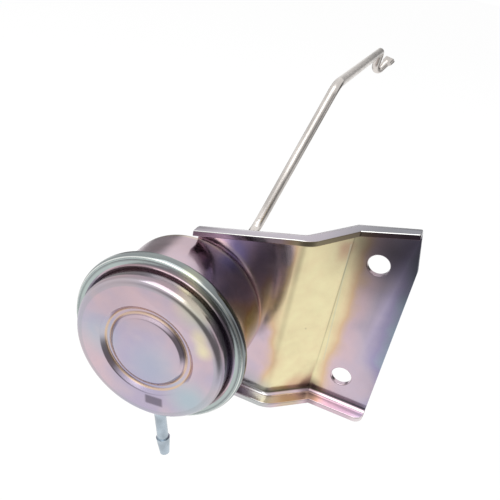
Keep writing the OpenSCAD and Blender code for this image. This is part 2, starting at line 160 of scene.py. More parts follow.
class PlatingSettings(bpy.types.PropertyGroup):
    """The film's colours, from its thinnest to its thickest, the stains, painted shade and painted
    highlights on it, and its gloss.
    """

    steel: colour_property("Steel", "Thinnest film, nearly bare zinc", "#ABAFB4")
    mint: colour_property("Mint", "Very thin film", "#BCD0C4")
    straw: colour_property("Straw", "Thin film, on folds and worked edges", "#EFE5B8")
    tan: colour_property("Tan", "Film a little thicker than straw", "#DEBE9C")
    rose: colour_property("Rose", "Film between tan and lavender", "#D5BCC3")
    lavender: colour_property("Lavender", "Film over most of the pressings", "#C3B6C6")
    violet: colour_property("Violet", "Thick film", "#ADA5C6")
    aqua: colour_property("Aqua", "Thicker film", "#AAC3CC")
    olive: colour_property("Olive", "Thickest film", "#C4B86A")
    # This dark colour also paints shade and dark reflections on the can and the bracket.
    stain_and_painted_shade: colour_property("Stain and painted shade", "Dark stain, and painted shade and dark reflections", "#3C3640")
    # This brown also paints shade and dark reflections on the can and the bracket.
    brown_stain_and_painted_shade: colour_property("Brown stain and painted shade", "Warm dark stain, and painted shade and dark reflections", "#4E3A3E")
    # This near white is a painted highlight on edges and rim lines.
    painted_highlight: colour_property("Painted highlight", "Near white painted onto edges and rim lines as a highlight", "#F4F4F0")
    roughness: number_property(
        "Roughness", "How soft the reflections are", 0.17, 0.05, 0.6, subtype="FACTOR"
    )


class SteelSettings(bpy.types.PropertyGroup):
    """Colours of the bare steel, the rubber and the bronze, and the studs' thread."""

    bar: colour_property("Bar steel", "Colour of the drawn rod", "#D3CDC8")
    # This near white paints glints in the rod's dents.
    painted_glint: colour_property("Painted glint", "Colour of the painted glints in the rod's dents", "#FAFAF8")
    bright: colour_property("Bright zinc", "Colour of nipple, nuts, studs and washers", "#AFBBC5")
    spring: colour_property("Spring wire", "Colour of the oiled spring wire", "#5C5E62")
    bronze: colour_property("Bronze", "Colour of the sintered bush", "#A98354")
    rubber: colour_property("Rubber", "Colour of the diaphragm and the seal", "#1D1D1E")
    thread_pitch: number_property(
        "Thread pitch",
        "Distance between two crests of the studs' threads",
        1.0 * MM,
        0.5 * MM,
        1.5 * MM,
        subtype="DISTANCE",
        unit="LENGTH",
        precision=5,
    )


class StageSettings(bpy.types.PropertyGroup):
    """Camera, floor and lamps."""

    camera_place: bpy.props.FloatVectorProperty(
        name="Camera place",
        description="Where the camera stands",
        default=(6.4 * MM, -202.7 * MM, 138.3 * MM),
        subtype="TRANSLATION",
        unit="LENGTH",
    )
    lens: number_property("Lens", "Focal length in millimetres", 43.2, 20, 120, unit="CAMERA")
    floor_drop: bpy.props.FloatProperty(
        name="Floor below the part",
        description="Gap between the part's lowest point and the floor",
        default=60 * MM,
        min=0.0,
        subtype="DISTANCE",
        unit="LENGTH",
    )
    lamp_power: number_property(
        "Lamp power", "Power of the overhead lamp in watts", 3.4, 0.1, 20, unit="POWER"
    )


GROUPS = {
    "actuator_plating": PlatingSettings,
    "actuator_steel": SteelSettings,
    "actuator_stage": StageSettings,
}


def add(tree, kind, inputs=(), **settings):
    """Adds one node and sets its settings. Inputs go by name or number in a dict, or in order."""
    made = tree.nodes.new("ShaderNode" + kind)
    for name, value in settings.items():
        setattr(made, name, value)
    for key, value in inputs.items() if isinstance(inputs, dict) else enumerate(inputs):
        if isinstance(value, bpy.types.NodeSocket):
            tree.links.new(value, made.inputs[key])
        else:
            made.inputs[key].default_value = value
    return made


def new_material(name):
    """An empty material with its tree, its shader and the part's coordinates in millimetres."""
    material = bpy.data.materials.new(name)
    material.use_nodes = True
    tree = material.node_tree
    tree.nodes.clear()
    shader = add(tree, "BsdfPrincipled")
    add(tree, "OutputMaterial", {"Surface": shader.outputs["BSDF"]})
    place = add(tree, "TexCoord").outputs["Object"]
    in_mm = add(tree, "VectorMath", (place, (1 / MM,) * 3), operation="MULTIPLY").outputs[0]
    return material, tree, shader, in_mm


def swirled(tree, place):
    """Places pushed aside by a few millimetres, so that patches get wandering outlines."""
    inputs = {"Vector": place, "Scale": 1 / SWIRL_MM, "Detail": 1.0}
    drift = add(tree, "TexNoise", inputs).outputs["Color"]
    shift = add(tree, "VectorMath", (drift, (0.5,) * 3), operation="SUBTRACT").outputs[0]
    inputs = {0: shift, "Scale": SWIRL_REACH_MM}
    shift = add(tree, "VectorMath", inputs, operation="SCALE").outputs[0]
    return add(tree, "VectorMath", (place, shift), operation="ADD").outputs[0]


def spot(tree, place, centre, reach, core=0.2):
    """1 at a centre in millimetres, falling to 0 at its reach."""
    gap = add(tree, "VectorMath", (place, centre), operation="DISTANCE").outputs["Value"]
    return add(tree, "MapRange", (gap, reach * core, reach, 1.0, 0.0), **SMOOTH).outputs[0]


def window(tree, value, low, high, soft):
    """1 where a value lies between low and high, with a soft edge outside them."""
    rise = add(tree, "MapRange", (value, low - soft, low, 0.0, 1.0), **SMOOTH).outputs[0]
    fall = add(tree, "MapRange", (value, high, high + soft, 1.0, 0.0), **SMOOTH).outputs[0]
    return add(tree, "Math", (rise, fall), operation="MULTIPLY").outputs[0]


def ring(tree, place, inner, outer, soft=0.4):
    """1 between two distances from the can's axis."""
    off = add(tree, "VectorMath", (place, CAN_AXIS), operation="SUBTRACT").outputs[0]
    flat = add(tree, "VectorMath", (off, (1.0, 0.0, 1.0)), operation="MULTIPLY").outputs[0]
    distance = add(tree, "VectorMath", (flat,), operation="LENGTH").outputs["Value"]
    return window(tree, distance, inner, outer, soft)


def patch(tree, place, centre, turn, half_wide, half_tall, soft=0.5, facing=None, least=0.5):
    """1 inside a rectangle in the XZ plane, turned about Y by some degrees. Where facing is given,
    only faces that look that way take it, and least is how nearly they have to."""
    wide = (math.cos(math.radians(turn)), 0.0, math.sin(math.radians(turn)))
    tall = (-wide[2], 0.0, wide[0])
    off = add(tree, "VectorMath", (place, centre), operation="SUBTRACT").outputs[0]
    inside = 1.0
    for way, half in ((wide, half_wide), (tall, half_tall)):
        side = add(tree, "VectorMath", (off, way), operation="DOT_PRODUCT").outputs["Value"]
        band = window(tree, side, -half, half, soft)
        inside = add(tree, "Math", (inside, band), operation="MULTIPLY").outputs[0]
    if facing is None:
        return inside
    normal = add(tree, "TexCoord").outputs["Normal"]
    way = Vector(facing).normalized()
    turned = add(tree, "VectorMath", (normal, way), operation="DOT_PRODUCT").outputs["Value"]
    turned = add(tree, "MapRange", (turned, least, least + 0.1, 0.0, 1.0), **SMOOTH).outputs[0]
    return add(tree, "Math", (inside, turned), operation="MULTIPLY").outputs[0]


def span(tree, place, axis, low, high, soft=1.5):
    """1 between two places along X, Y or Z."""
    return window(tree, add(tree, "SeparateXYZ", (place,)).outputs[axis], low, high, soft)


def film_colour(tree, thickness):
    """The film's colour at a thickness from 0 to 1, in the order that interference gives."""
    film = bpy.context.scene.actuator_plating
    ramp = add(tree, "ValToRGB", {"Fac": thickness})
    stops = ramp.color_ramp.elements
    places = (0.0, 0.13, 0.27, 0.4, 0.5, 0.6, 0.72, 0.84, 1.0)
    names = ("steel", "mint", "straw", "tan", "rose", "lavender", "violet", "aqua", "olive")
    for place in places[1:-1]:
        stops.new(place)
    for stop, place, name in zip(stops, places, names):
        stop.position = place
        stop.color = list(getattr(film, name))
    return ramp.outputs["Color"]


def plating_material(name, films, stains_and_painted_light, slope=None, ridge=None):
    """Zinc plating with a passivation film on pressed steel. To the eye it is a glossy metal that
    shifts from straw to rose, lavender and aqua as the film thickens, clouded and a little wavy.
    films holds (mask, what it takes, thickness, amount). The list after films holds tints laid over
    the film's colour, (mask, what it takes, tint, amount): stains, painted shade and painted
    highlights.
    slope is a film that thickens along X. ridge is a fine raised ring round the can."""
    film = bpy.context.scene.actuator_plating
    material, tree, shader, place = new_material(name)

    warped = swirled(tree, place)
    inputs = {"Vector": warped, "Scale": 1 / FILM_PATCH_MM, "Detail": 3.0}
    thickness = add(tree, "TexNoise", inputs).outputs["Fac"]
    thickness = add(tree, "MapRange", (thickness, 0.3, 0.7, *BASE_FILM), **SMOOTH).outputs[0]
    if slope is not None:
        (start, end), (thin, thick), fold = slope
        wavering = add(tree, "SeparateXYZ", (warped,)).outputs["X"]
        rising = add(tree, "MapRange", (wavering, start, end, thin, thick)).outputs[0]
        along = add(tree, "SeparateXYZ", (place,)).outputs["X"]
        inputs = (along, fold - SLOPE_EDGE_MM, fold + SLOPE_EDGE_MM, 0.0, 1.0)
        share = add(tree, "MapRange", inputs, **SMOOTH).outputs[0]
        thickness = add(tree, "Mix", {0: share, 2: thickness, 3: rising}).outputs[0]
    for mask, takes, target, amount in films:
        here = mask(tree, warped if mask is spot else place, *takes)
        here = add(tree, "Math", (here, amount), operation="MULTIPLY").outputs[0]
        thickness = add(tree, "Mix", {0: here, 2: thickness, 3: target}).outputs[0]
    inputs = {"Vector": place, "Scale": 1 / FILM_CLOUD_MM, "Detail": 4.0}
    cloud = add(tree, "TexNoise", inputs).outputs["Fac"]
    inputs = (cloud, 0.25, 0.75, -CLOUD_SHARE, CLOUD_SHARE)
    cloud = add(tree, "MapRange", inputs).outputs[0]
    thickness = add(tree, "Math", (thickness, cloud), operation="ADD").outputs[0]

    colour = film_colour(tree, thickness)
    # Stains, and painted shade and highlights, tint the film's colour.
    for mask, takes, tint, amount in stains_and_painted_light:
        here = mask(tree, place, *takes)
        here = add(tree, "Math", (here, amount), operation="MULTIPLY").outputs[0]
        inputs = {0: here, 6: colour, 7: list(getattr(film, tint))}
        colour = add(tree, "Mix", inputs, data_type="RGBA").outputs[2]

    inputs = {"Vector": place, "Scale": 1 / GLOSS_PATCH_MM, "Detail": 3.0}
    soft = add(tree, "TexNoise", inputs).outputs["Fac"]
    inputs = (soft, 0.35, 0.7, film.roughness * 0.8, film.roughness * 1.35)
    soft = add(tree, "MapRange", inputs, **SMOOTH).outputs[0]

    inputs = {"Vector": place, "Scale": 1 / WAVE_MM, "Detail": 1.0}
    wave = add(tree, "TexNoise", inputs).outputs["Fac"]
    shape = add(tree, "Bump", {"Height": wave, "Distance": WAVE_HEIGHT_MM * MM}).outputs[0]
    if ridge is not None:
        raised = ring(tree, place, *ridge)
        inputs = {"Height": raised, "Distance": RIDGE_HEIGHT_MM * MM, "Normal": shape}
        shape = add(tree, "Bump", inputs).outputs[0]
    inputs = {"Vector": place, "Scale": 1 / GRAIN_MM, "Detail": 3.0}
    grain = add(tree, "TexNoise", inputs).outputs["Fac"]
    inputs = {"Height": grain, "Distance": GRAIN_HEIGHT_MM * MM, "Normal": shape}
    shape = add(tree, "Bump", inputs).outputs[0]

    shader.inputs["Metallic"].default_value = 1.0
    tree.links.new(colour, shader.inputs["Base Color"])
    tree.links.new(soft, shader.inputs["Roughness"])
    tree.links.new(shape, shader.inputs["Normal"])
    return material


def metal_material(name, colour, roughness, grain_mm=0.6, streak=None, glinting_dents=()):
    """A plain metal: one colour with faint lighter and darker patches, fine grain and soft wear.
    streak draws the marks out along a bar. The dents are small hollows, each a centre in
    millimetres and a reach, with a painted glint in each."""
    material, tree, shader, place = new_material(name)
    dents_and_glints = [spot(tree, place, *painted_glint, core=0.45) for painted_glint in glinting_dents]
    if streak is not None:
        place = add(tree, "VectorMath", (place, streak), operation="MULTIPLY").outputs[0]

    inputs = {"Vector": place, "Scale": 1 / METAL_CLOUD_MM, "Detail": 3.0}
    cloud = add(tree, "TexNoise", inputs).outputs["Fac"]
    cloud = add(tree, "MapRange", (cloud, 0.35, 0.65, 0.0, 1.0), **SMOOTH).outputs[0]
    pale = [min(c * 1.12, 1.0) for c in colour[:3]] + [1.0]
    deep = [c * 0.78 for c in colour[:3]] + [1.0]
    tint = add(tree, "Mix", {0: cloud, 6: deep, 7: pale}, data_type="RGBA").outputs[2]
    # Painted glints: the dents are tinted near white.
    glint = list(bpy.context.scene.actuator_steel.painted_glint)
    for dent in dents_and_glints:
        tint = add(tree, "Mix", {0: dent, 6: tint, 7: glint}, data_type="RGBA").outputs[2]

    inputs = {"Vector": place, "Scale": 1 / grain_mm, "Detail": 3.0}
    grain = add(tree, "TexNoise", inputs).outputs["Fac"]
    inputs = (grain, 0.3, 0.7, roughness * 0.85, roughness * 1.2)
    soft = add(tree, "MapRange", inputs, **SMOOTH).outputs[0]
    inputs = {"Height": grain, "Distance": GRAIN_HEIGHT_MM * MM}
    shape = add(tree, "Bump", inputs).outputs[0]
    for dent in dents_and_glints:
        inputs = {"Height": dent, "Distance": -DENT_DEPTH_MM * MM, "Normal": shape}
        shape = add(tree, "Bump", inputs).outputs[0]

    shader.inputs["Metallic"].default_value = 1.0
    tree.links.new(tint, shader.inputs["Base Color"])
    tree.links.new(soft, shader.inputs["Roughness"])
    tree.links.new(shape, shader.inputs["Normal"])
    return material


def rubber_material():
    """Moulded nitrile rubber. To the eye it is nearly black and matt, with a faint fabric grain."""
    rubber = list(bpy.context.scene.actuator_steel.rubber)
    material, tree, shader, place = new_material("moulded_nitrile_rubber")
    inputs = {"Vector": place, "Scale": 1 / RUBBER_CLOUD_MM}
    cloud = add(tree, "TexNoise", inputs).outputs["Fac"]
    cloud = add(tree, "MapRange", (cloud, 0.3, 0.7, 0.0, 1.0), **SMOOTH).outputs[0]
    pale = [c * 1.8 for c in rubber[:3]] + [1.0]
    tint = add(tree, "Mix", {0: cloud, 6: rubber, 7: pale}, data_type="RGBA").outputs[2]
    weave = add(tree, "TexNoise", {"Vector": place, "Scale": 1 / GRAIN_MM}).outputs["Fac"]
    inputs = {"Height": weave, "Distance": RUBBER_GRAIN_HEIGHT_MM * MM}
    shape = add(tree, "Bump", inputs).outputs[0]
    shader.inputs["Roughness"].default_value = 0.62
    tree.links.new(tint, shader.inputs["Base Color"])
    tree.links.new(shape, shader.inputs["Normal"])
    return material


def finish_node(node, material):
    """Gives a CAD node that stays as it is its material."""
    target = frame["nodes"][node]
    target.data.materials.clear()
    target.data.materials.append(material)


def body_named_for(node):
    """The body that carries a CAD node."""
    bodies = frame["record"]["behaviour"]["bodies"]
    return next(body for body, members in bodies.items() if node in members)


def stand_in(name, node, mesh):
    """An object for a finished mesh that takes a CAD node's place and body."""
    piece = bpy.data.objects.new(name, mesh)
    bpy.context.scene.collection.objects.link(piece)
    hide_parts(node)
    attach(piece, body_named_for(node))
    return piece


def skinned(node, material, edge_mm=0.0, crease_degrees=30.0, held_back=True):
    """A copy of a CAD node with joined faces, smooth curves and softened edges, in its place.
    held_back keeps the softened edges narrow where the mesh has short edges."""
    mesh = bpy.data.meshes.new(node + "_skin")
    form = bmesh.new()
    form.from_mesh(frame["nodes"][node].data)
    bmesh.ops.remove_doubles(form, verts=form.verts, dist=JOIN_DISTANCE)
    bmesh.ops.dissolve_limit(
        form,
        angle_limit=math.radians(FLAT_DEGREES),
        verts=form.verts,
        edges=form.edges,
        delimit={"NORMAL"},
    )
    for face in form.faces:
        face.smooth = True
    crease = math.radians(crease_degrees)
    for edge in form.edges:
        edge.smooth = len(edge.link_faces) == 2 and edge.calc_face_angle() < crease
    form.to_mesh(mesh)
    form.free()
    if "custom_normal" in mesh.attributes:
        mesh.attributes.remove(mesh.attributes["custom_normal"])
    mesh.materials.clear()
    mesh.materials.append(material)
    piece = stand_in(node + "_skin", node, mesh)
    if edge_mm:
        bevel = piece.modifiers.new("softened edges", "BEVEL")
        bevel.width = edge_mm * MM
        bevel.segments = 2
        bevel.limit_method = "ANGLE"
        bevel.angle_limit = crease
        bevel.harden_normals = True
        bevel.use_clamp_overlap = held_back
    return piece


def threaded_stud(node, material, pitch):
    """A stud with a rolled thread, inside the plain cylinder of its CAD node."""
    low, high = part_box(node)
    centre = (low + high) / 2
    radius = (high.x - low.x) / 2
    around, rows_per_pitch = 40, 6
    rows = int((high.y - low.y) / pitch * rows_per_pitch)
    form = bmesh.new()
    circles = []
    for i in range(rows + 1):
        y = low.y + (high.y - low.y) * i / rows
        run_out = 1 - min(1.0, (high.y - y) / (THREAD_RUN_OUT * pitch))
        circle = []
        for k in range(around):
            angle = FULL_TURN * k / around
            groove = abs(2 * ((y / pitch + k / around) % 1.0) - 1)
            r = radius - THREAD_DEPTH * pitch * max(groove, run_out)
            point = (centre.x + r * math.cos(angle), y, centre.z + r * math.sin(angle))
            circle.append(form.verts.new(point))
        circles.append(circle)
    for lower, upper in zip(circles, circles[1:]):
        for k in range(around):
            n = (k + 1) % around
            form.faces.new((lower[k], upper[k], upper[n], lower[n]))
    form.faces.new(circles[0])
    form.faces.new(list(reversed(circles[-1])))
    bmesh.ops.recalc_face_normals(form, faces=form.faces)
    mesh = bpy.data.meshes.new(node + "_thread")
    form.to_mesh(mesh)
    form.free()
    mesh.materials.append(material)
    return stand_in(node + "_thread", node, mesh)


class ACTUATOR_OT_can(bpy.types.Operator):
    """Plates the deep-drawn housing and the cap."""

    bl_idname = "actuator.can"
    bl_label = "Can"

    def execute(self, context):
        # Rose at the wall's upper left, violet beside it, straw on the right, and a bare zinc rim.
        housing_films = (
            (spot, ((-76, -22, 20), 22), 0.52, 0.95),
            (spot, ((-52, -20, 20), 8), 0.72, 0.7),
            (spot, ((-36, -24, -4), 15), 0.27, 0.95),
            (ring, (30.8, 40, 0.8), 0.02, 0.95),
            (spot, ((-56, -46, 24), 5, 0.1), 0.12, 0.9),
        )
        # Painted shade near the bracket and painted dark reflections on the wall's top and upper
        # right, an olive spot on the right, straw at the floor's corner, and a straw mark and a
        # painted dark reflection at the upper right of the rim.
        housing_stains_and_painted_light = (
            (spot, ((-57, -26, 20), 11, 0.2), "stain_and_painted_shade", 0.3),
            (spot, ((-43, -24, 13), 15, 0.1), "brown_stain_and_painted_shade", 0.3),
            (spot, ((-68, -22, 26), 14, 0.1), "brown_stain_and_painted_shade", 0.22),
            (spot, ((-36, -24, -5), 11, 0.2), "olive", 0.85),
            (spot, ((-35.5, -18, 4), 7, 0.1), "olive", 0.45),
            (span, ("Y", -18.4, -15, 0.3), "straw", 0.3),
            (spot, ((-56, -46, 24), 6, 0.1), "straw", 0.4),
            (spot, ((-41, -46, 16), 17, 0.2), "stain_and_painted_shade", 0.4),
            # Rings of the rolled rim: a painted dark reflection on its outer edge, a painted
            # highlight line and painted shade in two hollows.
            (ring, (34.6, 36, 0.25), "stain_and_painted_shade", 0.45),
            (ring, (34.2, 34.35, 0.15), "painted_highlight", 0.7),
            (ring, (33.0, 33.2, 0.3), "stain_and_painted_shade", 0.3),
            (ring, (31.0, 31.5, 0.3), "stain_and_painted_shade", 0.45),
        )
        # Violet below the cap's middle and rose near its right edge.
        cap_films = (
            (spot, ((-63, -54, -19), 16), 0.68, 0.6),
            (spot, ((-36, -54, -16), 10), 0.52, 0.8),
        )
        cap_stains_and_painted_light = (
            # Clouds of aqua all round.
            (spot, ((-46, -54, -22), 13, 0.1), "aqua", 0.75),
            (spot, ((-63, -54, -14), 16, 0.1), "aqua", 0.35),
            (spot, ((-86, -54, -9), 13, 0.1), "aqua", 0.4),
            (spot, ((-48, -54, 18), 11, 0.1), "aqua", 0.45),
            # Tan lines in the pressed groove, painted glints, and a thin brown line there, painted
            # shade;
            # brown on the cap's side wall, painted shade under the rim, and grey at its corner.
            (ring, (15.3, 15.8, 0.3), "tan", 0.7),
            (ring, (14.9, 15.0, 0.25), "brown_stain_and_painted_shade", 0.35),
            (ring, (17.2, 17.6, 0.3), "tan", 0.75),
            (ring, (29.5, 31, 0.3), "brown_stain_and_painted_shade", 0.4),
            (ring, (27.2, 29.2, 0.8), "steel", 0.45),
            # Straw at the upper right of the corner, and the face a little darker on the upper
            # left.
            (spot, ((-50, -51, 18), 11, 0.3), "straw", 0.35),
            (spot, ((-80, -54, 10), 22, 0.2), "stain_and_painted_shade", 0.12),
            # A straw streak on the right, outside the groove.
            (spot, ((-46.8, -54, 7.8), 4.8, 0.0), "straw", 0.6),
            (spot, ((-45.6, -54, 5.0), 4.2, 0.0), "straw", 0.4),
            (spot, ((-44.4, -54, 2.2), 4.8, 0.0), "straw", 0.75),
            # The dark patch over the nipple's brazed joint.
            (patch, ((-60.4, -54, -29.4), 8.0, 3.0, 1.4, 1.1), "stain_and_painted_shade", 0.62),
        )
        # Plated deep-drawn steel gives long soft reflections along the wall and a bare grey rim.
        wall = plating_material(
            "passivated_zinc_drawn_housing", housing_films, housing_stains_and_painted_light, ridge=(33.5, 33.9, 0.2)
        )
        skinned("rear_housing", wall)
        # Plated pressed steel gives a flat lavender mirror with crisp rings at the groove.
        cover = plating_material(
            "passivated_zinc_pressed_cap", cap_films, cap_stains_and_painted_light, ridge=(15.9, 17.1, 0.25)
        )
        skinned("front_cap", cover)
        return {"FINISHED"}


class ACTUATOR_OT_bracket(bpy.types.Operator):
    """Plates the folded bracket."""

    bl_idname = "actuator.bracket"
    bl_label = "Bracket"

    def execute(self, context):
        # The top lip: where it lies, and the way its upper face looks.
        lip, lip_top = ((-20.1, -10, 40.2), 15.4, 60, 4, 0.3), (-0.27, 0, 0.96)
        # Violet, rose and tan on the left sheet, straw on the middle web, lavender on the lips.
        films = (
            (spot, ((-52, -15, 22), 9), 0.76, 0.8),
            (spot, ((-58, -15.6, 23), 5), 0.56, 0.9),
            (spot, ((-33, -16, 0), 10), 0.43, 0.8),
            (spot, ((-32, -16, 27), 8), 0.72, 0.9),
            (span, ("X", -25.5, -13.0, 10.0), 0.27, 0.94),
            (spot, ((-34, -15, -22), 12), 0.5, 0.8),
            (spot, ((-16, -8, -37), 10), 0.44, 0.8),
            (spot, ((6, -2.4, -30), 18, 0.3), 0.56, 0.85),
            (spot, ((-13, -4, 29), 6), 0.42, 0.8),
            (span, ("Z", -60, -40.4, 0.6), 0.52, 0.96),
            (patch, (*lip, lip_top), 0.57, 1.0),
        )
        stains_and_painted_light = (
            # Dark shade beside the can and in the upper right corner.
            (spot, ((-43, -16, 20), 16, 0.1), "brown_stain_and_painted_shade", 0.3),
            (spot, ((-33, -16, 23), 11, 0.1), "stain_and_painted_shade", 0.2),
            (spot, ((8, -2.4, 44), 38, 0.2), "stain_and_painted_shade", 0.85),
            # A painted highlight along the fold beside the bolt holes, in mint.
            (patch, ((-10.5, -2.7, 5), 93.0, 28, 0.1, 0.35), "mint", 0.22),
            # The top lip: grey above, brown on its cut face, partly the sheared edge's own colour
            # and partly a painted dark reflection, and a painted highlight along its edge.
            (patch, (*lip, lip_top), "steel", 0.5),
            (patch, (*lip, (0, -1, 0)), "brown_stain_and_painted_shade", 0.6),
            (patch, (*lip, (-0.36, -0.64, 0.68), 0.84), "painted_highlight", 0.9),
            # The lower lip: painted shade in its inner corners, then grey to olive, brown and a
            # painted highlight to the right.
            (patch, ((2, -2.7, -38.8), 0.0, 12, 0.8, 0.9), "stain_and_painted_shade", 0.55),
            (patch, ((-18, -9, -39), 0.0, 9, 0.8, 0.9), "brown_stain_and_painted_shade", 0.45),
            (spot, ((-34, -20, -42), 14, 0.4), "steel", 0.6),
            (spot, ((-30, -20, -42), 10, 0.2), "mint", 0.35),
            (spot, ((-17, -14, -42.5), 8, 0.2), "olive", 0.4),
            (spot, ((-9, -8, -42.5), 4, 0.1), "brown_stain_and_painted_shade", 0.45),
            (spot, ((13, -8, -43), 6, 0.1), "painted_highlight", 0.5),
            (spot, ((-11, -4, -39), 7), "brown_stain_and_painted_shade", 0.7),
            # One small pit in the web.
            (spot, ((-18.7, -9, -6.5), 0.6), "brown_stain_and_painted_shade", 0.8),
        )
        # The film on the bolted face goes from straw at the fold to aqua at the free edge.
        slope = ((-12, 15), (0.32, 0.8), -11.6)
        # Plated folded sheet gives flat mirrors whose colour changes at each fold.
        sheet = plating_material("passivated_zinc_folded_sheet", films, stains_and_painted_light, slope)
        skinned("bracket", sheet, edge_mm=0.4, held_back=False)
        return {"FINISHED"}


class ACTUATOR_OT_rod(bpy.types.Operator):
    """Finishes the cranked rod and what is riveted to it."""

    bl_idname = "actuator.rod"
    bl_label = "Rod"

    def execute(self, context):
        colours = context.scene.actuator_steel
        # Dents of the bending tool, just before the first bend, each with a painted glint.
        glinting_dents = (
            ((-64.9, 56.4, -1.9), 0.8),
            ((-65.4, 55.6, -3.2), 0.9),
            ((-65.3, 54.2, -4.6), 0.8),
        )
        # Drawn bar gives a warm satin shine with faint marks drawn out along it.
        bar = metal_material(
            "drawn_bright_steel", list(colours.bar), 0.26, streak=(1.0, 0.12, 0.3), glinting_dents=glinting_dents
        )
        skinned("rod", bar, edge_mm=0.25)
        # Bright zinc on stamped plates gives a cool even satin.
        zinc = metal_material("bright_zinc_on_plates", list(colours.bright), 0.3)
        for node in ("front_plate", "piston_cup", "head_washer"):
            finish_node(node, zinc)
        return {"FINISHED"}


class ACTUATOR_OT_nipple(bpy.types.Operator):
    """Finishes the hose nipple."""

    bl_idname = "actuator.nipple"
    bl_label = "Hose nipple"

    def execute(self, context):
        colours = context.scene.actuator_steel
        # Bright zinc on a turned part gives a cool shine, a little crisper than on the nuts.
        zinc = metal_material("bright_zinc_turned_nipple", list(colours.bright), 0.24)
        skinned("hose_nipple", zinc, edge_mm=0.12)
        return {"FINISHED"}


class ACTUATOR_OT_fasteners(bpy.types.Operator):
    """Threads the studs and finishes nuts, washers and the seal's retainer."""

    bl_idname = "actuator.fasteners"
    bl_label = "Fasteners"

    def execute(self, context):
        colours = context.scene.actuator_steel
        # Bright zinc on rolled and stamped steel gives a cool satin with bright crests.
        zinc = metal_material("bright_zinc_fasteners", list(colours.bright), 0.3)
        for node in ("upper_stud", "lower_stud"):
            threaded_stud(node, zinc, colours.thread_pitch)
        for node in ("upper_nut", "lower_nut", "upper_washer", "lower_washer", "seal_retainer"):
            skinned(node, zinc, edge_mm=0.2)
        return {"FINISHED"}


class ACTUATOR_OT_inner_parts(bpy.types.Operator):
    """Finishes what is inside the can."""

    bl_idname = "actuator.inner_parts"
    bl_label = "Inner parts"

    def execute(self, context):
        colours = context.scene.actuator_steel
        rubber = rubber_material()
        finish_node("diaphragm", rubber)
        finish_node("wiper_seal", rubber)
        # Oiled patented wire looks dark grey with a soft shine.
        wire = metal_material("oiled_spring_wire", list(colours.spring), 0.35)
        spring = skinned("spring", wire)
        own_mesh(spring)
        # Bright zinc on a stamped ring gives a cool even satin.
        ring_zinc = metal_material("bright_zinc_spring_seat", list(colours.bright), 0.3)
        finish_node("spring_seat", ring_zinc)
        # Sintered bronze looks warm, dull and finely grained.
        bronze = metal_material("sintered_bronze", list(colours.bronze), 0.45, grain_mm=0.4)
        finish_node("guide_bush", bronze)
        return {"FINISHED"}


def plain_rays(tree):
    """1 for rays of the camera and of shiny or clear surfaces, which see the plain colour."""
    path = add(tree, "LightPath")
    rays = path.outputs["Is Camera Ray"]
    for other in ("Is Glossy Ray", "Is Transmission Ray"):
        rays = add(tree, "Math", (rays, path.outputs[other]), operation="MAXIMUM").outputs[0]
    return rays


def stage_material(name, hex_colour, seen_as=1.0, keeps_shadow=0.0):
    """A matt studio surface. What the camera and shiny metal see of it is its plain colour."""
    material = bpy.data.materials.new(name)
    material.use_nodes = True
    tree = material.node_tree
    tree.nodes.clear()
    matt = add(tree, "BsdfDiffuse", {"Color": linear(hex_colour)}).outputs[0]
    inputs = {"Color": linear(hex_colour), "Strength": seen_as}
    plain = add(tree, "Emission", inputs).outputs[0]
    seen = add(tree, "MixShader", (keeps_shadow, plain, matt)).outputs[0]
    surface = add(tree, "MixShader", (plain_rays(tree), matt, seen)).outputs[0]
    add(tree, "OutputMaterial", {"Surface": surface})
    return material


def panel(name, centre, size, facing, material):
    """A flat rectangular stage surface that faces a point."""
    x, y = size[0] / 2, size[1] / 2
    mesh = bpy.data.meshes.new(name)
    mesh.from_pydata([(-x, -y, 0), (x, -y, 0), (x, y, 0), (-x, y, 0)], [], [(0, 1, 2, 3)])
    mesh.materials.append(material)
    piece = bpy.data.objects.new(name, mesh)
    piece.location = centre
    away = Vector(facing) - Vector(centre)
    piece.rotation_euler = away.to_track_quat("Z", "Y").to_euler()
    bpy.context.scene.collection.objects.link(piece)


def direction(azimuth, height):
    """A unit vector at two angles in radians. Azimuth 0 is in front of the part and grows to +X."""
    flat = math.cos(height)
    return Vector((math.sin(azimuth) * flat, -math.cos(azimuth) * flat, math.sin(height)))


def cloth_shade(tree, unit, cloth):
    """How light the shell is under one cloth: darkest in its middle, 1 outside its soft edge."""
    (azimuth, height), (wide, tall), darkest = cloth
    azimuth, height = math.radians(azimuth), math.radians(height)
    way = direction(azimuth, height)
    side = Vector((math.cos(azimuth), math.sin(azimuth), 0.0))
    over = side.cross(way)
    dots = [
        add(tree, "VectorMath", (unit, part), operation="DOT_PRODUCT").outputs["Value"]
        for part in (side / wide, over / tall, way)
    ]
    behind = add(tree, "MapRange", (dots[2], -0.05, 0.05, 5.0, 0.0), **SMOOTH).outputs[0]
    out = add(tree, "CombineXYZ", (dots[0], dots[1], behind)).outputs[0]
    out = add(tree, "VectorMath", (out,), operation="LENGTH").outputs["Value"]
    return add(tree, "MapRange", (out, 0.45, 1.0, darkest, 1.0), **SMOOTH).outputs[0]


